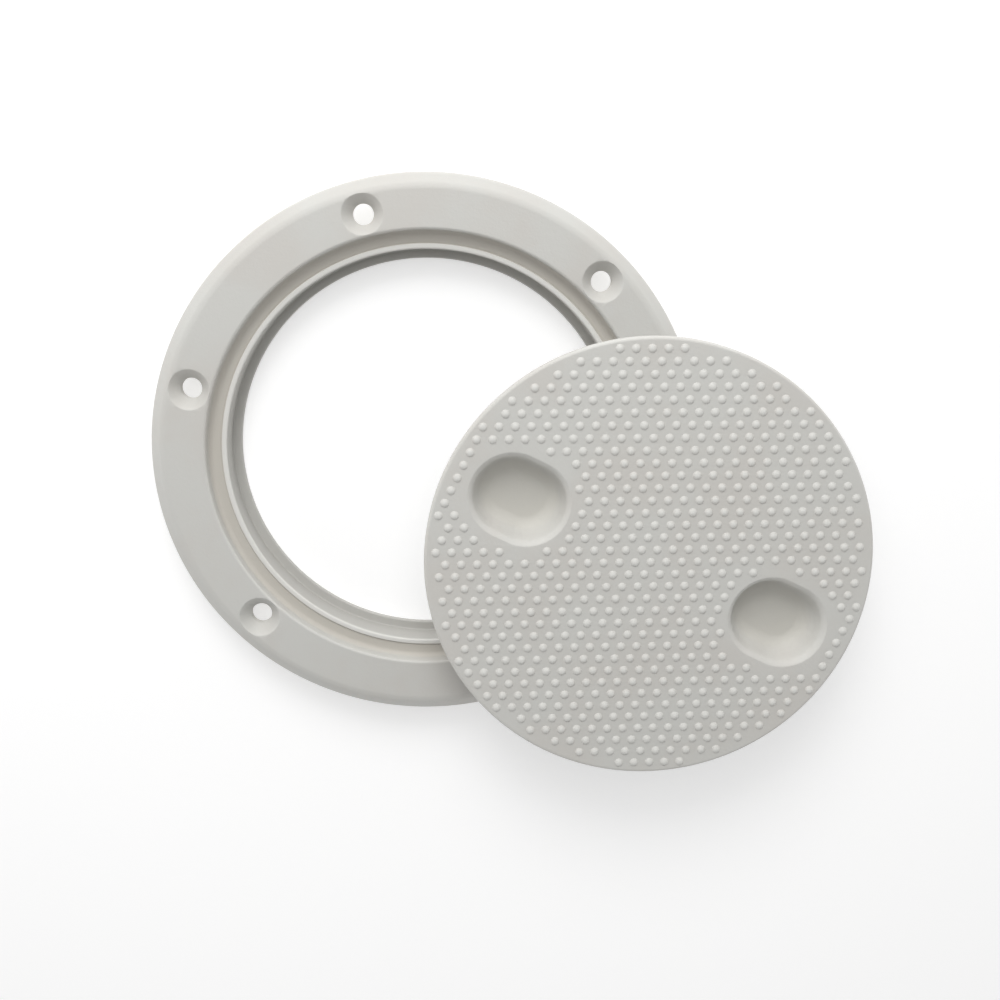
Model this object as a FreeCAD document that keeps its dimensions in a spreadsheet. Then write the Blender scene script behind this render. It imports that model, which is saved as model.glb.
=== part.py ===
# Round deck inspection plate with a lift-out cover, for a boat's deck or bulkhead.
# A moulded ring is screwed down round a hole in the deck. A studded cover with a flat gasket closes it:
# it is pushed in, and a bead on its skirt snaps under the ring's inner shelf.
# The cover is off here, and lies with its ribs and skirt flat on the ring's flange.
# Frame: origin on the ring's axis in the plane of the deck, +Z up, +X through one screw hole
# on the side where the cover lies. Millimetres and degrees.
import FreeCAD, Part

import math
import os

import Sketcher

Vector = FreeCAD.Vector
doc = FreeCAD.newDocument("deck_plate")

# Driving sizes
SIZES = {
    # ring: clear opening, inner shelf, bore and collar
    "opening_radius": 49.65,
    "shelf_reach": 2.35,
    "shelf_depth": 10.2,
    "shelf_thick": 1.5,
    "collar_wall": 3.0,
    # ring: lip and recess for the cover's rim
    "lip_width": 1.35,
    "lip_rise": 0.4,
    "recess_width": 3.45,
    "recess_depth": 3.7,
    "recess_wall": 1.2,
    "recess_floor": 2.4,
    # ring: flange and screw holes
    "flange_thick": 4.5,
    "edge_land": 3.35,
    "edge_chamfer": 2.3,
    "screw_count": 6,
    "screw_bore": 5.3,
    "screw_land": 0.45,
    "sink_width": 10.4,
    "sink_depth": 3.0,
    "sink_over": 1.0,
    # gasket between the cover's rim and the ring's lip
    "gasket_thick": 1.5,
    "gasket_squeeze": 0.3,
    "gasket_inset": 0.5,
    "gasket_gap": 0.3,
    # cover: rim, skirt and snap bead
    "rim_gap": 0.5,
    "rim_round": 0.75,
    "skirt_gap": 0.45,
    "skirt_wall": 2.2,
    "bead_gap": 0.2,
    "bead_rise": 0.9,
    "bead_ramp": 0.9,
    "bead_lead": 2.2,
    "foot_taper": 0.6,
    # cover: hub and ribs underneath
    "hub_radius": 6.0,
    "rib_thick": 2.0,
    "rib_count": 6,
    # cover: finger cups
    "cup_inset": 0.5,
    "cup_half_long": 12.2,
    "cup_half_wide": 10.2,
    "cup_depth": 7.0,
    "cup_wall": 1.8,
    "boss_over": 0.3,
    "brow_fall": 5.0,
    "brow_step": 1.6,
    "foot_step": 3.6,
    # cover: non-slip studs
    "stud_pitch": 3.51,
    "stud_radius": 1.2,
    "stud_height": 0.85,
    "stud_sides": 3,
    "stud_margin": 0.1,
    "stud_land": 1.6,
    # where the cover lies on the ring
    "rest_inset": 10.8,
    "rest_along": -9.2,
    "rest_turn": -10.9,
}

sheet = doc.addObject("Spreadsheet::Sheet", "sizes")
for row, (name, number) in enumerate(SIZES.items(), start=1):
    sheet.set("A%d" % row, name)
    sheet.set("B%d" % row, str(number))
    sheet.setAlias("B%d" % row, name)
doc.recompute()


class Size:
    """A size that carries both its number and the formula that ties it to the sheet."""

    def __init__(self, number, formula):
        self.number = number
        self.formula = formula

    def __add__(self, other):
        return Size(self.number + other.number, "(%s + %s)" % (self.formula, other.formula))

    def __sub__(self, other):
        return Size(self.number - other.number, "(%s - %s)" % (self.formula, other.formula))

    def __neg__(self):
        return Size(-self.number, "(-%s)" % self.formula)

    def half(self):
        return Size(self.number / 2, "(%s / 2)" % self.formula)


def size(name):
    """One cell of the sheet as a Size."""
    return Size(SIZES[name], "sizes." + name)


ZERO = Size(0.0, "0")
PAIR = Size(2.0, "2")


# Bodies and sketches
def new_body(label):
    """An empty body with its own label."""
    body = doc.addObject("PartDesign::Body", label + "_body")
    body.Label = label
    return body


def origin_part(body, role):
    """One of the body's own origin planes or axes."""
    return next(item for item in body.Origin.OriginFeatures if item.Role == role)


def new_sketch(body, name, role, lift=ZERO):
    """A sketch on an origin plane of its body, lifted along the plane's normal."""
    sketch = body.newObject("Sketcher::SketchObject", name)
    sketch.AttachmentSupport = (origin_part(body, role), [""])
    sketch.MapMode = "FlatFace"
    sketch.setExpression("AttachmentOffset.Base.z", lift.formula)
    return sketch


def bind(sketch, kind, places, value):
    """Add a constraint of one kind and tie its value to the sheet."""
    number = sketch.addConstraint(Sketcher.Constraint(kind, *places, value.number))
    sketch.setExpression("Constraints[%d]" % number, value.formula)


def closed_outline(sketch, corners):
    """Draw a closed outline of straight edges, counter-clockwise, through corners given as (across, along)."""
    points = [Vector(across.number, along.number, 0) for across, along in corners]
    for start, end in zip(points, points[1:] + points[:1]):
        sketch.addGeometry(Part.LineSegment(start, end))
    for edge, (across, along) in enumerate(corners):
        sketch.addConstraint(Sketcher.Constraint("Coincident", edge - 1 if edge else len(corners) - 1, 2, edge, 1))
        bind(sketch, "DistanceX", (-1, 1, edge, 1), across)
        bind(sketch, "DistanceY", (-1, 1, edge, 1), along)


def obround(sketch, centre, half_straight, radius):
    """Draw an obround, long along X, with its centre on the X axis."""
    for turn, side in ((-math.pi / 2, half_straight), (math.pi / 2, -half_straight)):
        middle = Vector(centre.number + side.number, 0, 0)
        end_circle = Part.Circle(middle, Vector(0, 0, 1), radius.number)
        edge = sketch.addGeometry(Part.ArcOfCircle(end_circle, turn, turn + math.pi))
        bind(sketch, "DistanceX", (-1, 1, edge, 3), centre + side)
        sketch.addConstraint(Sketcher.Constraint("PointOnObject", edge, 3, -1))
        bind(sketch, "Radius", (edge,), radius)
        for end in (1, 2):
            sketch.addConstraint(Sketcher.Constraint("Vertical", edge, end, edge, 3))
    for first, second in ((0, 1), (1, 0)):
        start = sketch.getPoint(first, 2)
        finish = sketch.getPoint(second, 1)
        line = sketch.addGeometry(Part.LineSegment(start, finish))
        sketch.addConstraint(Sketcher.Constraint("Coincident", first, 2, line, 1))
        sketch.addConstraint(Sketcher.Constraint("Coincident", line, 2, second, 1))


def turned(body, name, corners):
    """Turn a closed outline, drawn as (radius, height), about the body's Z axis. It is drawn over +Y,
    so that the seam of the turned faces misses the screw holes and the cups on X."""
    section = new_sketch(body, name + "_section", "YZ_Plane")
    closed_outline(section, corners)
    turn = body.newObject("PartDesign::Revolution", name)
    turn.Profile = section
    turn.ReferenceAxis = (section, ["V_Axis"])
    turn.Angle = 360.0
    return turn


def around(body, name, feature, copies):
    """Repeat a feature round the body's Z axis."""
    pattern = body.newObject("PartDesign::PolarPattern", name)
    pattern.Originals = [feature]
    pattern.Axis = (origin_part(body, "Z_Axis"), [""])
    pattern.Angle = 360.0
    pattern.setExpression("Occurrences", copies.formula)
    body.Tip = pattern


# Mounting ring: flange, recess for the cover, lip, bore, shelf and collar, in one moulding. Its radii build
# up from the clear opening outwards.
opening_radius = size("opening_radius")
bore_radius = opening_radius + size("shelf_reach")
collar_radius = bore_radius + size("collar_wall")
lip_radius = bore_radius + size("lip_width")
recess_radius = lip_radius + size("recess_width")
hub_radius = recess_radius + size("recess_wall")
sink_half = size("sink_width").half()
screw_circle = recess_radius + size("screw_land") + sink_half
outer_radius = screw_circle + sink_half + size("edge_land")
flange_top = size("flange_thick")
recess_floor = flange_top - size("recess_depth")
hub_bottom = recess_floor - size("recess_floor")
lip_top = recess_floor + size("lip_rise")
shelf_top = flange_top - size("shelf_depth")
shelf_bottom = shelf_top - size("shelf_thick")

ring = new_body("mounting_ring")
turned(ring, "ring_blank", [
    (outer_radius, ZERO),
    (outer_radius, flange_top - size("edge_chamfer")),
    (outer_radius - size("edge_chamfer"), flange_top),
    (recess_radius, flange_top),
    (recess_radius, recess_floor),
    (lip_radius, recess_floor),
    (lip_radius, lip_top),
    (bore_radius, lip_top),
    (bore_radius, shelf_top),
    (opening_radius, shelf_top),
    (opening_radius, shelf_bottom),
    (collar_radius, shelf_bottom),
    (collar_radius, hub_bottom),
    (hub_radius, ZERO),
])

# Countersunk screw hole: its section runs on past both faces of the flange
sink_over = size("sink_over")
bore_half = size("screw_bore").half()
hole_section = new_sketch(ring, "hole_section", "XZ_Plane")
hole_section.setExpression("AttachmentOffset.Base.x", screw_circle.formula)
closed_outline(hole_section, [
    (ZERO, -sink_over),
    (bore_half, -sink_over),
    (bore_half, flange_top - size("sink_depth")),
    (sink_half, flange_top),
    (sink_half, flange_top + sink_over),
    (ZERO, flange_top + sink_over),
])
screw_hole = ring.newObject("PartDesign::Groove", "screw_hole")
screw_hole.Profile = hole_section
screw_hole.ReferenceAxis = (hole_section, ["V_Axis"])
screw_hole.Angle = 360.0
doc.recompute()
around(ring, "screw_holes", screw_hole, size("screw_count"))

# Cover: plate with a rim, and a skirt whose bead snaps under the ring's shelf. It is drawn in its own frame,
# with the top of its plate at zero height: closed, the plate lies level with the flange, on its gasket.
cover_radius = recess_radius - size("rim_gap")
plate_thick = size("recess_depth") - size("lip_rise") - size("gasket_thick") + size("gasket_squeeze")
skirt_radius = opening_radius - size("skirt_gap")
skirt_inside = skirt_radius - size("skirt_wall")
bead_top = -(size("shelf_depth") + size("shelf_thick") + size("bead_gap"))
bead_crest = bead_top - size("bead_ramp")
skirt_foot = bead_crest - size("bead_lead")

blank = new_body("cover_blank")
turned(blank, "cover_turned", [
    (ZERO, -plate_thick),
    (skirt_inside, -plate_thick),
    (skirt_inside, skirt_foot),
    (skirt_radius - size("foot_taper"), skirt_foot),
    (skirt_radius + size("bead_rise"), bead_crest),
    (skirt_radius, bead_top),
    (skirt_radius, -plate_thick),
    (cover_radius, -plate_thick),
    (cover_radius, -size("rim_round")),
    (cover_radius - size("rim_round"), ZERO),
    (ZERO, ZERO),
])

# Hub and full-depth ribs stiffen the plate, and stand level with the foot of the skirt. The ribs start
# half a step from X, so that they pass beside the finger cups.
web_height = -skirt_foot - plate_thick


def web(name, sketch):
    """A web that hangs from the plate down to the foot of the skirt."""
    pad = blank.newObject("PartDesign::Pad", name)
    pad.Profile = sketch
    pad.Reversed = True
    pad.setExpression("Length", web_height.formula)
    return pad


hub_outline = new_sketch(blank, "hub_outline", "XY_Plane", -plate_thick)
hub_outline.addGeometry(Part.Circle(Vector(0, 0, 0), Vector(0, 0, 1), size("hub_radius").number))
hub_outline.addConstraint(Sketcher.Constraint("Coincident", 0, 3, -1, 1))
bind(hub_outline, "Radius", (0,), size("hub_radius"))
web("hub", hub_outline)

rib_outline = new_sketch(blank, "rib_outline", "XY_Plane", -plate_thick)
rib_outline.setExpression("AttachmentOffset.Rotation.Angle", "180 / sizes.rib_count")
rib_end = skirt_radius - size("skirt_wall").half()
rib_side = size("rib_thick").half()
closed_outline(rib_outline, [
    (ZERO, -rib_side),
    (rib_end, -rib_side),
    (rib_end, rib_side),
    (ZERO, rib_side),
])
rib = web("rib", rib_outline)
doc.recompute()
around(blank, "ribs", rib, size("rib_count"))

# Finger cups: bowls with soft obround outlines, each in a boss under the plate. Their outer ends reach
# over the skirt's wall.
cup_place = skirt_radius - size("cup_inset") - size("cup_half_long")
cup_straight = size("cup_half_long") - size("cup_half_wide")
cup_foot = -size("cup_depth")
mouth_radius = size("cup_half_wide")
boss_radius = mouth_radius + size("boss_over")
BOSS = [
    (-plate_thick, boss_radius),
    (cup_foot - size("cup_wall"), boss_radius),
]
BOWL = [
    (ZERO, mouth_radius),
    (-size("brow_fall"), mouth_radius - size("brow_step")),
    (cup_foot, mouth_radius - size("foot_step")),
]


def cup_loft(name, kind, levels):
    """A loft through obrounds at the given heights, repeated at the two cups."""
    sketches = []
    for number, (height, radius) in enumerate(levels):
        sketch = new_sketch(blank, "%s_outline_%d" % (name, number), "XY_Plane", height)
        obround(sketch, cup_place, cup_straight, radius)
        sketches.append(sketch)
    loft = blank.newObject(kind, name)
    loft.Profile = sketches[0]
    loft.Sections = sketches[1:]
    loft.Ruled = True
    doc.recompute()
    around(blank, name + "_pair", loft, PAIR)


cup_loft("cup_boss", "PartDesign::AdditiveLoft", BOSS)
cup_loft("cup_bowl", "PartDesign::SubtractiveLoft", BOWL)

# Non-slip studs: rows one pitch apart, every other row shifted by half a pitch. They stop short of the
# rim and leave a bare land round each cup.
def stud_places():
    """The stud centres on the cover's plate."""
    pitch = sheet.get("stud_pitch")
    radius = sheet.get("stud_radius")
    reach = cover_radius.number - sheet.get("rim_round") - sheet.get("stud_margin") - radius
    keep_off = sheet.get("cup_half_wide") + sheet.get("stud_land") + radius
    straight = cup_straight.number
    count = math.ceil(reach / pitch) + 1
    places = []
    for row in range(-count, count + 1):
        for column in range(-count, count + 1):
            across = row * pitch
            along = (column + (row % 2) / 2) * pitch
            past_cup = max(abs(abs(across) - cup_place.number) - straight, 0.0)
            if math.hypot(across, along) <= reach and math.hypot(past_cup, along) >= keep_off:
                places.append(Vector(across, along, 0))
    return places


def stud(place):
    """One stud as a low pyramid, which stands for a small dome: the hole for its foot, and its flanks."""
    sides = int(sheet.get("stud_sides"))
    radius = sheet.get("stud_radius")
    spokes = [2 * math.pi * number / sides for number in range(sides)]
    foot = [place + Vector(math.cos(turn), math.sin(turn), 0) * radius for turn in spokes]
    corners = [Part.Vertex(point) for point in foot]
    tip = Part.Vertex(place + Vector(0, 0, sheet.get("stud_height")))
    others = corners[1:] + corners[:1]
    base = [Part.Edge(start, end) for start, end in zip(corners, others)]
    rising = [Part.Edge(corner, tip) for corner in corners]
    flanks = []
    for number in range(sides):
        following = rising[(number + 1) % sides]
        flank = Part.Face(Part.Wire([base[number], following, rising[number]]))
        if flank.normalAt(0, 0).z < 0:
            flank.reverse()
        flanks.append(flank)
    hole = Part.Wire(base)
    hole.reverse()
    return hole, flanks


def studded(solid):
    """The blank cover with the flat top of its plate raised into studs."""
    top = max(solid.Faces, key=lambda face: face.CenterOfMass.z)
    plate = next(face for face in solid.Faces if face.isSame(top))
    studs = [stud(place) for place in stud_places()]
    plate.cutHoles([hole for hole, flanks in studs])
    raised = [plate]
    for hole, flanks in studs:
        raised.extend(flanks)
    return solid.replaceShape([(top, Part.makeCompound(raised))])


doc.recompute()
cover = doc.addObject("Part::Feature", "cover")
cover.Shape = studded(blank.Shape)

# Gasket: a flat rubber ring under the cover's rim
gasket = new_body("cover_gasket")
gasket_inner = skirt_radius + size("gasket_gap")
gasket_outer = cover_radius - size("gasket_inset")
turned(gasket, "gasket_turned", [
    (gasket_inner, -plate_thick - size("gasket_thick")),
    (gasket_outer, -plate_thick - size("gasket_thick")),
    (gasket_outer, -plate_thick),
    (gasket_inner, -plate_thick),
])

# The cover lies level across the ring's edge, on the foot of its skirt and its ribs, with the gasket on it
for piece in (cover, gasket):
    piece.setExpression("Placement.Base.x", (outer_radius - size("rest_inset")).formula)
    piece.setExpression("Placement.Base.y", "sizes.rest_along")
    piece.setExpression("Placement.Base.z", (flange_top - skirt_foot).formula)
    piece.setExpression("Placement.Rotation.Axis.z", "1")
    piece.setExpression("Placement.Rotation.Angle", "sizes.rest_turn")

# Check everything before anything is written
doc.recompute()
for item in doc.Objects:
    for flag in ("Invalid", "Error"):
        if flag in item.State:
            raise RuntimeError("%s is %s" % (item.Name, flag))
pieces = [ring, cover, gasket]
for piece in pieces:
    if piece.Shape.isNull() or not piece.Shape.isValid():
        raise RuntimeError("%s has no valid shape" % piece.Label)

os.makedirs("parts", exist_ok=True)
for piece in pieces:
    piece.Shape.exportStep("parts/%s.step" % piece.Label)
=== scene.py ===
import math

import bmesh
import bpy
from mathutils import Matrix, Vector


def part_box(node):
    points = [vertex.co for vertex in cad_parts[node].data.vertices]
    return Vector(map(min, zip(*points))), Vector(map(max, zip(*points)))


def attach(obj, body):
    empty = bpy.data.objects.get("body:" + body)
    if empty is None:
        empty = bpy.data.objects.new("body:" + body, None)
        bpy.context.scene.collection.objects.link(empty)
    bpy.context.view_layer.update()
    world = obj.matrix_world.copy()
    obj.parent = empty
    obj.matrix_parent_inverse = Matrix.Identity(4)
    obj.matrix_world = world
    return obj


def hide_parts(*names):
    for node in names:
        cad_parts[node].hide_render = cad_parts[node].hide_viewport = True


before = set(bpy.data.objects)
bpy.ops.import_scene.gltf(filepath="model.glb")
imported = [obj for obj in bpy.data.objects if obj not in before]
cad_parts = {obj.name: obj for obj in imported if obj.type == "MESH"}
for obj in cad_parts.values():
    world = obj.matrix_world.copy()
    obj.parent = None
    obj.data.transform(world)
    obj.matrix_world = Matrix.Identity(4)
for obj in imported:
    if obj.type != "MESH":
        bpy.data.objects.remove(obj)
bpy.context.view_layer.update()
MM = 0.001

# Mounting ring
# One injection moulding in off-white plastic with a fine matte grain, screwed down round the hole in the
# deck. The flange's outer edge is well rounded, and the recess for the cover has a low lip and a shelf.
RING_LOW, RING_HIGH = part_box("mounting_ring")
OUTER = RING_HIGH.x
FLANGE = RING_HIGH.z
FOOT = RING_LOW.z
EDGE_WIDE = 3.35 * MM
EDGE_DROP = 2.3 * MM
RECESS = 56.8 * MM
RECESS_FLOOR = FLANGE - 3.7 * MM
LIP = 53.35 * MM
LIP_TOP = RECESS_FLOOR + 0.4 * MM
GROOVE_WIDE = 0.35 * MM
GROOVE_DEEP = 0.12 * MM
BORE = 52.0 * MM
SHELF = 49.65 * MM
SHELF_TOP = FLANGE - 10.2 * MM
COLLAR = 55.0 * MM
HUB = 58.0 * MM
HUB_BOTTOM = -1.6 * MM
SOFT = 0.3 * MM
RING_STEPS = 240
TINY = 0.001 * MM


def turned(corners, steps):
    """A bmesh turned all round Z from a closed section of corners, each as (radius, height, rounding)."""
    shape = bmesh.new()
    points = [shape.verts.new((radius, 0, height)) for radius, height, soft in corners]
    shape.faces.new(points)
    for point, (radius, height, soft) in zip(points, corners):
        if soft:
            bmesh.ops.bevel(shape, geom=[point], offset=soft, offset_type="OFFSET", segments=8 if soft > MM else 3,
                            profile=0.5, affect="VERTICES", material=-1)
    bmesh.ops.delete(shape, geom=shape.faces[:], context="FACES_ONLY")
    axis = [edge for edge in shape.edges if all(point.co.x < TINY for point in edge.verts)]
    bmesh.ops.delete(shape, geom=axis, context="EDGES")
    bmesh.ops.spin(shape, geom=shape.verts[:] + shape.edges[:], cent=(0, 0, 0), axis=(0, 0, 1), dvec=(0, 0, 0),
                   angle=2 * math.pi, steps=steps, use_merge=True)
    bmesh.ops.remove_doubles(shape, verts=shape.verts[:], dist=TINY)
    bmesh.ops.recalc_face_normals(shape, faces=shape.faces[:])
    return shape


def as_object(shape, name, place=None):
    """Put a bmesh in the scene as an object at the origin, with its place in its mesh."""
    if place:
        bmesh.ops.transform(shape, matrix=place, verts=shape.verts[:])
    mesh = bpy.data.meshes.new(name)
    shape.to_mesh(mesh)
    shape.free()
    piece = bpy.data.objects.new(name, mesh)
    bpy.context.scene.collection.objects.link(piece)
    return piece


def carve(piece, tools, operation):
    """Join tools to a piece or cut them away, clear the tools off, and leave no faces without area."""
    group = bpy.data.collections.new(piece.name + "_tools")
    for tool in tools:
        group.objects.link(tool)
    step = piece.modifiers.new("carve", "BOOLEAN")
    step.operation = operation
    step.operand_type = "COLLECTION"
    step.collection = group
    step.solver = "EXACT"
    finished = bpy.data.meshes.new_from_object(piece.evaluated_get(bpy.context.evaluated_depsgraph_get()))
    piece.modifiers.clear()
    shape = bmesh.new()
    shape.from_mesh(finished)
    large = [face for face in shape.faces if len(face.verts) > 4]
    bmesh.ops.triangulate(shape, faces=large)
    bmesh.ops.dissolve_degenerate(shape, dist=TINY, edges=shape.edges[:])
    shape.to_mesh(finished)
    shape.free()
    piece.data = finished
    for tool in tools:
        bpy.data.objects.remove(tool)
    bpy.data.collections.remove(group)


def shade(piece, sharpest):
    """Smooth shading that keeps flat faces flat, with edges over the given angle in degrees left sharp."""
    for face in piece.data.polygons:
        face.use_smooth = True
    piece.data.set_sharp_from_angle(angle=math.radians(sharpest))
    weights = piece.modifiers.new("weights", "WEIGHTED_NORMAL")
    weights.keep_sharp = True
    weights.weight = 100


mounting_ring = as_object(turned([
    (OUTER, 0, 0.4 * MM),
    (OUTER, FLANGE - EDGE_DROP, 0.7 * MM),
    (OUTER - EDGE_WIDE, FLANGE, 1.05 * MM),
    (RECESS, FLANGE, 0.7 * MM),
    (RECESS, RECESS_FLOOR, 1.3 * MM),
    (LIP + GROOVE_WIDE, RECESS_FLOOR, 0.12 * MM),
    (LIP + GROOVE_WIDE / 2, RECESS_FLOOR - GROOVE_DEEP, 0.08 * MM),
    (LIP, RECESS_FLOOR, 0.05 * MM),
    (LIP, LIP_TOP, 0.25 * MM),
    (BORE, LIP_TOP, 0.45 * MM),
    (BORE, SHELF_TOP, 0.4 * MM),
    (SHELF, SHELF_TOP, 0.4 * MM),
    (SHELF, FOOT, SOFT),
    (COLLAR, FOOT, SOFT),
    (COLLAR, HUB_BOTTOM, SOFT),
    (HUB, 0, SOFT),
], RING_STEPS), "ring_moulding")

# Six countersunk screw holes, empty here, with rims that the mould leaves softly rounded
HOLES = 6
HOLE_CIRCLE = 62.45 * MM
HOLE_BORE = 2.65 * MM
SINK_MOUTH = 5.2 * MM
SINK_DEEP = 3.0 * MM
FLARE_WIDE = 2.0 * MM
FLARE_RISE = 0.3 * MM
ABOVE = 4.0 * MM


def countersink(number):
    """The cutter for one hole: a bore, a cone, and a flare above the flange that softens the rim."""
    shape = turned([
        (0, -FLANGE, 0),
        (HOLE_BORE, -FLANGE, 0),
        (HOLE_BORE, FLANGE - SINK_DEEP, 0.2 * MM),
        (SINK_MOUTH, FLANGE, 0.3 * MM),
        (SINK_MOUTH + FLARE_WIDE, FLANGE + FLARE_RISE, 0),
        (SINK_MOUTH + FLARE_WIDE, FLANGE + ABOVE, 0),
        (0, FLANGE + ABOVE, 0),
    ], 48)
    turn = Matrix.Rotation(2 * math.pi * number / HOLES, 4, "Z")
    return as_object(shape, "countersink", turn @ Matrix.Translation((HOLE_CIRCLE, 0, 0)))


carve(mounting_ring, [countersink(number) for number in range(HOLES)], "DIFFERENCE")
shade(mounting_ring, 40)


def add_node(tree, kind, **settings):
    """A node in a tree, with attributes set by name."""
    node = tree.nodes.new(kind)
    for name, value in settings.items():
        setattr(node, name, value)
    return node


def spread(tree, source, low, high, to_low=0.0, to_high=1.0):
    """A clamped Map Range node fed from a socket."""
    node = add_node(tree, "ShaderNodeMapRange", interpolation_type="SMOOTHSTEP")
    tree.links.new(source, node.inputs["Value"])
    node.inputs["From Min"].default_value = low
    node.inputs["From Max"].default_value = high
    node.inputs["To Min"].default_value = to_low
    node.inputs["To Max"].default_value = to_high
    return node.outputs["Result"]


def blend_colours(tree, factor, first, second):
    """A Mix node for colours; each input is a socket or a colour."""
    node = add_node(tree, "ShaderNodeMix", data_type="RGBA")
    for name, value in (("Factor", factor), ("A", first), ("B", second)):
        kind = "VALUE" if name == "Factor" else "RGBA"
        socket = next(item for item in node.inputs if item.name == name and item.type == kind)
        if isinstance(value, bpy.types.NodeSocket):
            tree.links.new(value, socket)
        else:
            socket.default_value = value
    return next(item for item in node.outputs if item.type == "RGBA")


def both(tree, first, second):
    """The product of two masks."""
    node = add_node(tree, "ShaderNodeMath", operation="MULTIPLY")
    tree.links.new(first, node.inputs[0])
    tree.links.new(second, node.inputs[1])
    return node.outputs["Value"]


def moulded_finish():
    """The look of the matte moulded plastic: a fine spark-eroded grain, faint clouding and rare dark specks."""
    group = bpy.data.node_groups.new("moulded_finish", "ShaderNodeTree")
    sockets = (
        ("Place", "INPUT", "NodeSocketVector"),
        ("Plastic", "INPUT", "NodeSocketColor"),
        ("Clouding", "INPUT", "NodeSocketColor"),
        ("Grain Scale", "INPUT", "NodeSocketFloat"),
        ("Colour", "OUTPUT", "NodeSocketColor"),
        ("Roughness", "OUTPUT", "NodeSocketFloat"),
        ("Grain", "OUTPUT", "NodeSocketFloat"),
    )
    for name, way, kind in sockets:
        group.interface.new_socket(name, in_out=way, socket_type=kind)
    given = add_node(group, "NodeGroupInput").outputs
    made = add_node(group, "NodeGroupOutput").inputs

    def noise(scale, detail, rough):
        node = add_node(group, "ShaderNodeTexNoise")
        group.links.new(given["Place"], node.inputs["Vector"])
        node.inputs["Scale"].default_value = scale
        node.inputs["Detail"].default_value = detail
        node.inputs["Roughness"].default_value = rough
        return node

    grain = noise(1, 3, 0.6)
    group.links.new(given["Grain Scale"], grain.inputs["Scale"])
    group.links.new(grain.outputs["Fac"], made["Grain"])
    group.links.new(spread(group, grain.outputs["Fac"], 0.3, 0.7, 0.62, 0.5), made["Roughness"])
    cloud = spread(group, noise(45, 4, 0.6).outputs["Fac"], 0.38, 0.66)
    clouded = blend_colours(group, cloud, given["Plastic"], given["Clouding"])
    freckle = add_node(group, "ShaderNodeTexVoronoi")
    group.links.new(given["Place"], freckle.inputs["Vector"])
    freckle.inputs["Scale"].default_value = 150
    near = spread(group, freckle.outputs["Distance"], 0.05, 0.022)
    chosen = spread(group, freckle.outputs["Color"], 0.86, 0.9)
    strength = spread(group, both(group, near, chosen), 0, 1, 0, 0.35)
    specked = blend_colours(group, strength, clouded, (0.2, 0.17, 0.13, 1))
    group.links.new(specked, made["Colour"])
    return group


MOULDED_FINISH = moulded_finish()


def plastic(name, colour, clouding, grain_scale, grain_depth):
    """A material of the matte plastic, and the parts of its tree that a piece's own marks build on."""
    material = bpy.data.materials.new(name)
    material.use_nodes = True
    tree = material.node_tree
    shader = tree.nodes["Principled BSDF"]
    place = add_node(tree, "ShaderNodeTexCoord").outputs["Object"]
    finish = add_node(tree, "ShaderNodeGroup", node_tree=MOULDED_FINISH)
    tree.links.new(place, finish.inputs["Place"])
    finish.inputs["Plastic"].default_value = colour
    finish.inputs["Clouding"].default_value = clouding
    finish.inputs["Grain Scale"].default_value = grain_scale
    tree.links.new(finish.outputs["Colour"], shader.inputs["Base Color"])
    tree.links.new(finish.outputs["Roughness"], shader.inputs["Roughness"])
    bump = add_node(tree, "ShaderNodeBump")
    bump.inputs["Distance"].default_value = grain_depth
    bump.inputs["Strength"].default_value = 1.0
    tree.links.new(finish.outputs["Grain"], bump.inputs["Height"])
    tree.links.new(bump.outputs["Normal"], shader.inputs["Normal"])
    shader.inputs["Specular IOR Level"].default_value = 0.4
    return material, tree, shader, place, finish


OFF_WHITE = (0.62, 0.616, 0.586, 1)
OFF_WHITE_CLOUD = (0.61, 0.594, 0.56, 1)
# Painted shade: a darker, browner tone for the floor of the recess
RECESS_SHADE = (0.55, 0.52, 0.465, 1)

# Painted shade makes the recess floor a little darker and browner and the bore darker, and a painted highlight
# lightens the top of the lip
BORE_SHADE = (0.47, 0.462, 0.435, 1)
LIP_HIGHLIGHT = (0.78, 0.77, 0.735, 1)
ring_plastic, tree, shader, place, finish = plastic("ring_plastic", OFF_WHITE, OFF_WHITE_CLOUD, 1400, 0.05 * MM)
split = add_node(tree, "ShaderNodeSeparateXYZ")
tree.links.new(place, split.inputs["Vector"])
height = split.outputs["Z"]
flat = add_node(tree, "ShaderNodeCombineXYZ")
tree.links.new(split.outputs["X"], flat.inputs["X"])
tree.links.new(split.outputs["Y"], flat.inputs["Y"])
length = add_node(tree, "ShaderNodeVectorMath", operation="LENGTH")
tree.links.new(flat.outputs["Vector"], length.inputs[0])
reach = length.outputs["Value"]
low_down = spread(tree, height, RECESS_FLOOR + 1.4 * MM, RECESS_FLOOR + 0.2 * MM)
outside_lip = spread(tree, reach, LIP - 0.1 * MM, LIP + 0.1 * MM, 0, 0.85)
inside_wall = spread(tree, reach, RECESS + 0.6 * MM, RECESS + 0.2 * MM)
in_recess = both(tree, outside_lip, inside_wall)
under_lip = spread(tree, height, LIP_TOP - 0.2 * MM, LIP_TOP - 0.9 * MM)
in_bore = spread(tree, reach, BORE + 0.5 * MM, BORE + 0.1 * MM, 0, 0.9)
on_lip = spread(tree, height, LIP_TOP - 0.35 * MM, LIP_TOP - 0.1 * MM)
inside_groove = spread(tree, reach, LIP + 0.2 * MM, LIP, 0, 0.85)
# Painted shade darkens the recess floor
recess_shaded = blend_colours(tree, both(tree, low_down, in_recess), finish.outputs["Colour"], RECESS_SHADE)
# Painted shade darkens the bore below the lip
bore_shaded = blend_colours(tree, both(tree, under_lip, in_bore), recess_shaded, BORE_SHADE)
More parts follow.
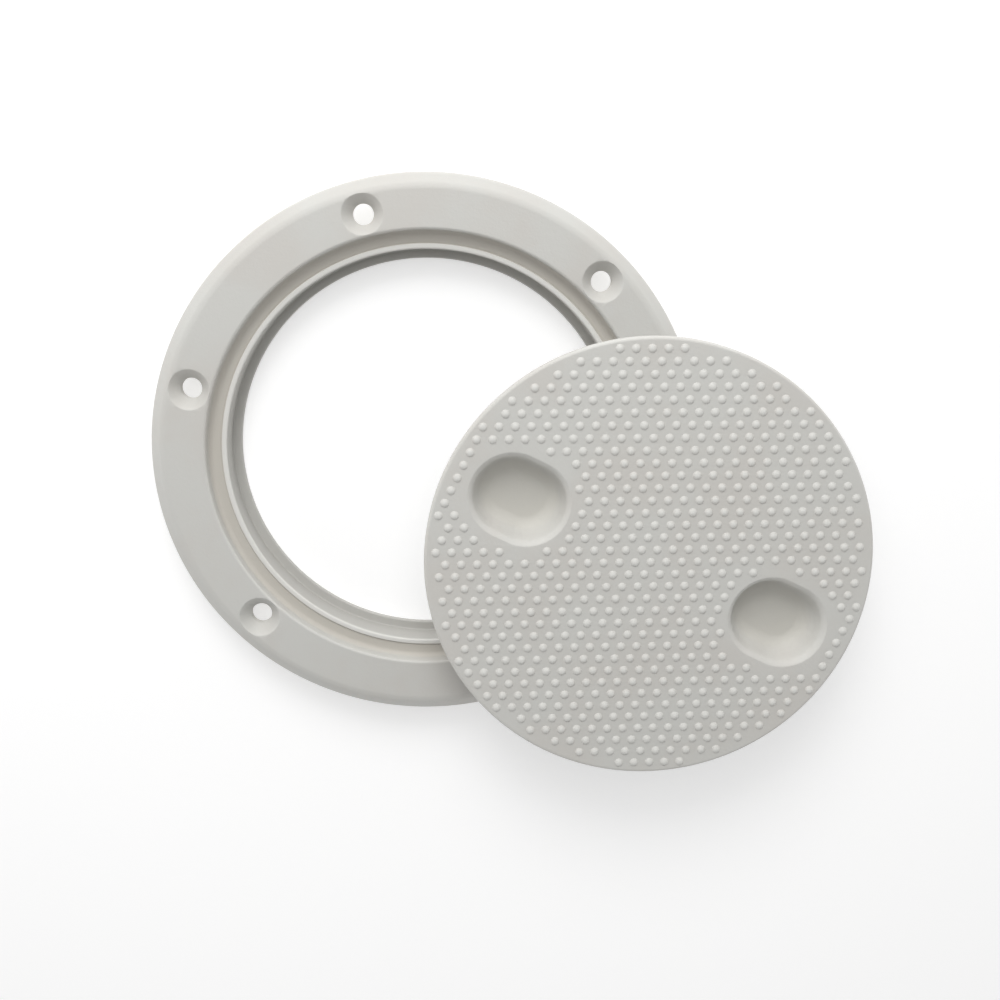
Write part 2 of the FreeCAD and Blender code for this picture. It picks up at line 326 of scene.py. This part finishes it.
# A painted highlight lightens the top of the lip
lip_highlighted = blend_colours(tree, both(tree, on_lip, inside_groove), bore_shaded, LIP_HIGHLIGHT)
tree.links.new(lip_highlighted, shader.inputs["Base Color"])
mounting_ring.data.materials.clear()
mounting_ring.data.materials.append(ring_plastic)
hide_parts("mounting_ring")
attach(mounting_ring, "root")

# Cover
# The same plastic as the ring, moulded in one with its skirt, snap bead, hub and ribs. It is modelled round
# its own axis with the top of the plate at zero, and then laid across the ring's edge.
COVER_LOW, COVER_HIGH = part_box("cover")
COVER = (COVER_HIGH.x - COVER_LOW.x) / 2
COVER_DEEP = 15.0 * MM
COVER_TOP = COVER_LOW.z + COVER_DEEP
COVER_MIDDLE = (COVER_LOW + COVER_HIGH) / 2
REST_TURN = math.radians(-10.9)
REST = Matrix.Translation((COVER_MIDDLE.x, COVER_MIDDLE.y, COVER_TOP)) @ Matrix.Rotation(REST_TURN, 4, "Z")
PLATE = 2.1 * MM
SKIRT = 49.2 * MM
SKIRT_INSIDE = SKIRT - 2.2 * MM
BEAD_TOP = -11.9 * MM
BEAD_CREST = -12.8 * MM
BEAD_RISE = 0.9 * MM
RIM_ROUND = 0.9 * MM
cover = as_object(turned([
    (0, -PLATE, 0),
    (SKIRT_INSIDE, -PLATE, 0.5 * MM),
    (SKIRT_INSIDE, -COVER_DEEP, SOFT),
    (SKIRT - 0.6 * MM, -COVER_DEEP, SOFT),
    (SKIRT + BEAD_RISE, BEAD_CREST, 0.3 * MM),
    (SKIRT, BEAD_TOP, 0.2 * MM),
    (SKIRT, -PLATE, 0.2 * MM),
    (COVER, -PLATE, SOFT),
    (COVER, 0, RIM_ROUND),
    (0, 0, 0),
], RING_STEPS), "cover_moulding")

# Hub, ribs and the bosses of the cups, which stiffen the plate from below
CUP_PLACE = 36.5 * MM
CUP_STRAIGHT = 2.0 * MM
CUP_MOUTH = 10.2 * MM
CUP_DEEP = 7.0 * MM
CUP_WALL = 1.8 * MM
BOSS = CUP_MOUTH + 0.3 * MM
HUB_RADIUS = 6.0 * MM
RIBS = 6
RIB_THICK = 2.0 * MM
RIB_REACH = SKIRT - 1.1 * MM
RIB_FOOT = -COVER_DEEP + 0.1 * MM
INSIDE_PLATE = -1.2 * MM


def obround(corners, steps, side):
    """A turned shape drawn out along X to an obround, at the cup on one side of the cover."""
    shape = turned(corners, steps)
    for point in shape.verts:
        if abs(point.co.x) > TINY:
            point.co.x += math.copysign(CUP_STRAIGHT, point.co.x)
    return as_object(shape, "cup_tool", Matrix.Translation((side * CUP_PLACE, 0, 0)))


def rib_bar(number):
    """A bar right across the cover, which makes two ribs."""
    shape = bmesh.new()
    size = Vector((2 * RIB_REACH, RIB_THICK, INSIDE_PLATE - RIB_FOOT))
    bmesh.ops.create_cube(shape, size=1, matrix=Matrix.Diagonal((*size, 1)))
    bmesh.ops.translate(shape, verts=shape.verts[:], vec=(0, 0, RIB_FOOT + size.z / 2))
    foot = [edge for edge in shape.edges if all(point.co.z < RIB_FOOT + TINY for point in edge.verts)]
    bmesh.ops.bevel(shape, geom=foot, offset=SOFT, offset_type="OFFSET", segments=3,
                    profile=0.5, affect="EDGES", material=-1)
    return as_object(shape, "rib", Matrix.Rotation(math.pi * (2 * number + 1) / RIBS, 4, "Z"))


underside = [rib_bar(number) for number in range(RIBS // 2)]
underside.append(as_object(turned([
    (0, RIB_FOOT, 0),
    (HUB_RADIUS, RIB_FOOT, SOFT),
    (HUB_RADIUS, INSIDE_PLATE, 0),
    (0, INSIDE_PLATE, 0),
], 64), "hub"))
for side in (1, -1):
    underside.append(obround([
        (0, -CUP_DEEP - CUP_WALL, 0),
        (BOSS, -CUP_DEEP - CUP_WALL, 0.8 * MM),
        (BOSS, INSIDE_PLATE, 0),
        (0, INSIDE_PLATE, 0),
    ], 72, side))
carve(cover, underside, "UNION")

# Finger cups: bowls with a softly rolled mouth, a steep wall and a wide flat floor
carve(cover, [obround([
    (0, -CUP_DEEP, 0),
    (6.9 * MM, -CUP_DEEP, 1.8 * MM),
    (8.7 * MM, -4.7 * MM, 1.3 * MM),
    (CUP_MOUTH, 0, 1.7 * MM),
    (CUP_MOUTH + FLARE_WIDE, FLARE_RISE, 0),
    (CUP_MOUTH + FLARE_WIDE, ABOVE, 0),
    (0, ABOVE, 0),
], 96, side) for side in (1, -1)], "DIFFERENCE")

# Non-slip studs: low domes in rows one pitch apart, every other row half a pitch along
STUD_PITCH = 3.51 * MM
STUD_FOOT = 1.32 * MM
STUD_SUNK = 0.15 * MM
SHOULDER = 0.72 * MM
SHOULDER_HIGH = 0.4 * MM
SHOULDER_SOFT = 0.4 * MM
STUD_HEIGHT = 0.5 * MM
STUD_SIDES = 12
STUD_REACH = COVER - 2.05 * MM
STUD_KEEP_OFF = CUP_MOUTH + 2.8 * MM


def stud():
    """One stud as a mesh at the cover's middle, with its foot sunk into the plate."""
    shape = turned([
        (0, -STUD_SUNK, 0),
        (STUD_FOOT, -STUD_SUNK, 0),
        (SHOULDER, SHOULDER_HIGH, SHOULDER_SOFT),
        (0, STUD_HEIGHT, 0),
    ], STUD_SIDES)
    mesh = bpy.data.meshes.new("stud")
    shape.to_mesh(mesh)
    shape.free()
    return mesh


STUD = stud()
ROWS = math.ceil(STUD_REACH / STUD_PITCH) + 1
studded = bmesh.new()
studded.from_mesh(cover.data)
for row in range(-ROWS, ROWS + 1):
    line = bmesh.new()
    across = row * STUD_PITCH
    for column in range(-ROWS, ROWS + 1):
        along = (column + (row % 2) / 2) * STUD_PITCH
        past_cup = max(abs(abs(across) - CUP_PLACE) - CUP_STRAIGHT, 0)
        if math.hypot(across, along) <= STUD_REACH and math.hypot(past_cup, along) >= STUD_KEEP_OFF:
            before = len(line.verts)
            line.from_mesh(STUD)
            bmesh.ops.translate(line, verts=line.verts[before:], vec=(across, along, 0))
    filled = bpy.data.meshes.new("stud_row")
    line.to_mesh(filled)
    line.free()
    studded.from_mesh(filled)
    bpy.data.meshes.remove(filled)
bmesh.ops.transform(studded, matrix=REST, verts=studded.verts[:])
studded.to_mesh(cover.data)
studded.free()
shade(cover, 40)

# A painted highlight makes the tops of the studs a little lighter than the plate between them, and dust settles in
# the cups
STUD_HIGHLIGHT = (0.7, 0.695, 0.665, 1)
DUSTY = (0.6, 0.585, 0.535, 1)
cover_plastic, tree, shader, place, finish = plastic("cover_plastic", OFF_WHITE, OFF_WHITE_CLOUD, 1400, 0.05 * MM)
split = add_node(tree, "ShaderNodeSeparateXYZ")
tree.links.new(place, split.inputs["Vector"])
on_stud = spread(tree, split.outputs["Z"], COVER_TOP + 0.1 * MM, COVER_TOP + STUD_HEIGHT)
facing = add_node(tree, "ShaderNodeSeparateXYZ")
tree.links.new(add_node(tree, "ShaderNodeNewGeometry").outputs["Normal"], facing.inputs["Vector"])
upward = spread(tree, facing.outputs["Z"], 0.2, 0.8)
deep_down = spread(tree, split.outputs["Z"], COVER_TOP - 3.5 * MM, COVER_TOP - CUP_DEEP, 0, 0.8)
settled = blend_colours(tree, both(tree, deep_down, upward), finish.outputs["Colour"], DUSTY)
# The stud tops get a painted highlight
tree.links.new(blend_colours(tree, on_stud, settled, STUD_HIGHLIGHT), shader.inputs["Base Color"])
cover.data.materials.clear()
cover.data.materials.append(cover_plastic)
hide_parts("cover")
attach(cover, "root")

# Gasket
# A flat ring of dark grey rubber, die-cut and pushed up under the cover's rim. Closed, it is squeezed on the
# ring's lip.
GASKET_INSIDE = SKIRT + 0.3 * MM
GASKET_OUTSIDE = COVER - 0.5 * MM
GASKET_THICK = 1.5 * MM
GASKET_EDGE = 0.25 * MM
gasket = as_object(turned([
    (GASKET_INSIDE, -PLATE - GASKET_THICK, GASKET_EDGE),
    (GASKET_OUTSIDE, -PLATE - GASKET_THICK, GASKET_EDGE),
    (GASKET_OUTSIDE, -PLATE, GASKET_EDGE),
    (GASKET_INSIDE, -PLATE, GASKET_EDGE),
], RING_STEPS), "gasket_ring", REST)
shade(gasket, 60)
rubber = bpy.data.materials.new("gasket_rubber")
rubber.use_nodes = True
tree = rubber.node_tree
shader = tree.nodes["Principled BSDF"]
place = add_node(tree, "ShaderNodeTexCoord").outputs["Object"]
bloom = add_node(tree, "ShaderNodeTexNoise")
tree.links.new(place, bloom.inputs["Vector"])
bloom.inputs["Scale"].default_value = 220
bloom.inputs["Detail"].default_value = 5
dusted = spread(tree, bloom.outputs["Fac"], 0.42, 0.68)
tree.links.new(blend_colours(tree, dusted, (0.028, 0.028, 0.03, 1), (0.06, 0.06, 0.062, 1)), shader.inputs["Base Color"])
tree.links.new(spread(tree, bloom.outputs["Fac"], 0.3, 0.7, 0.55, 0.8), shader.inputs["Roughness"])
bump = add_node(tree, "ShaderNodeBump")
bump.inputs["Distance"].default_value = 0.04 * MM
tree.links.new(bloom.outputs["Fac"], bump.inputs["Height"])
tree.links.new(bump.outputs["Normal"], shader.inputs["Normal"])
gasket.data.materials.append(rubber)
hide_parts("cover_gasket")
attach(gasket, "root")

# Floor
# A plain white light table, faintly lit from below, level with the foot of the ring's collar.
FLOOR_HALF = 3.0
floor_mesh = bmesh.new()
bmesh.ops.create_grid(floor_mesh, x_segments=1, y_segments=1, size=FLOOR_HALF)
floor = as_object(floor_mesh, "floor", Matrix.Translation((0, 0, FOOT)))
floor_paint = bpy.data.materials.new("floor_paint")
floor_paint.use_nodes = True
floor_shader = floor_paint.node_tree.nodes["Principled BSDF"]
floor_shader.inputs["Base Color"].default_value = (0.75, 0.75, 0.75, 1)
floor_shader.inputs["Emission Color"].default_value = (1, 1, 1, 1)
floor_shader.inputs["Emission Strength"].default_value = 0.4
floor_shader.inputs["Roughness"].default_value = 0.9
floor_shader.inputs["Specular IOR Level"].default_value = 0.1
floor.data.materials.append(floor_paint)

# Light
# A softbox stands low beyond the far left edge of the plate with a second one above it, and the white walls of
# the room give an even light from all sides that fades towards the dark ceiling.
TARGET = Vector((0.02, 0.0, 0.0))


def softbox(name, direction, height, distance, side, watts):
    """A square area light that faces the plate, placed by its direction and height in degrees."""
    level, rise = math.radians(direction), math.radians(height)
    data = bpy.data.lights.new(name, "AREA")
    data.shape = "SQUARE"
    data.size = side
    data.energy = watts
    lamp = bpy.data.objects.new(name, data)
    lamp.location = distance * Vector((math.cos(rise) * math.cos(level), math.cos(rise) * math.sin(level), math.sin(rise)))
    lamp.rotation_euler = (TARGET - lamp.location).to_track_quat("-Z", "Y").to_euler()
    bpy.context.scene.collection.objects.link(lamp)


softbox("low_light", 113, 36, 0.9, 0.4, 3.0)
softbox("high_light", 113, 56, 0.5, 0.45, 1.2)
room = bpy.data.worlds.new("room")
room.use_nodes = True
tree = room.node_tree
split = add_node(tree, "ShaderNodeSeparateXYZ")
tree.links.new(add_node(tree, "ShaderNodeTexCoord").outputs["Generated"], split.inputs["Vector"])
walls = spread(tree, split.outputs["Z"], 0.0, 0.7, 1.3, 0.22)
tree.links.new(walls, tree.nodes["Background"].inputs["Strength"])
tree.nodes["Background"].inputs["Color"].default_value = (1, 1, 1, 1)
bpy.context.scene.world = room
bpy.context.scene.view_settings.view_transform = "Standard"

# Camera
# Held over the plate a little on the near side, as the photograph was taken.
CAMERA_PLACE = Vector((-5.70, 52.48, 248.86)) * MM
CAMERA_TURN = (-8.891, -2.244, 15.582)
lens_data = bpy.data.cameras.new("camera")
lens_data.sensor_width = 36
lens_data.lens = 34.789
lens_data.shift_x = 0.0017
lens_data.shift_y = -0.1006
lens_data.clip_start = 0.01
camera = bpy.data.objects.new("camera", lens_data)
camera.location = CAMERA_PLACE
camera.rotation_euler = [math.radians(turn) for turn in CAMERA_TURN]
bpy.context.scene.collection.objects.link(camera)
bpy.context.scene.camera = camera
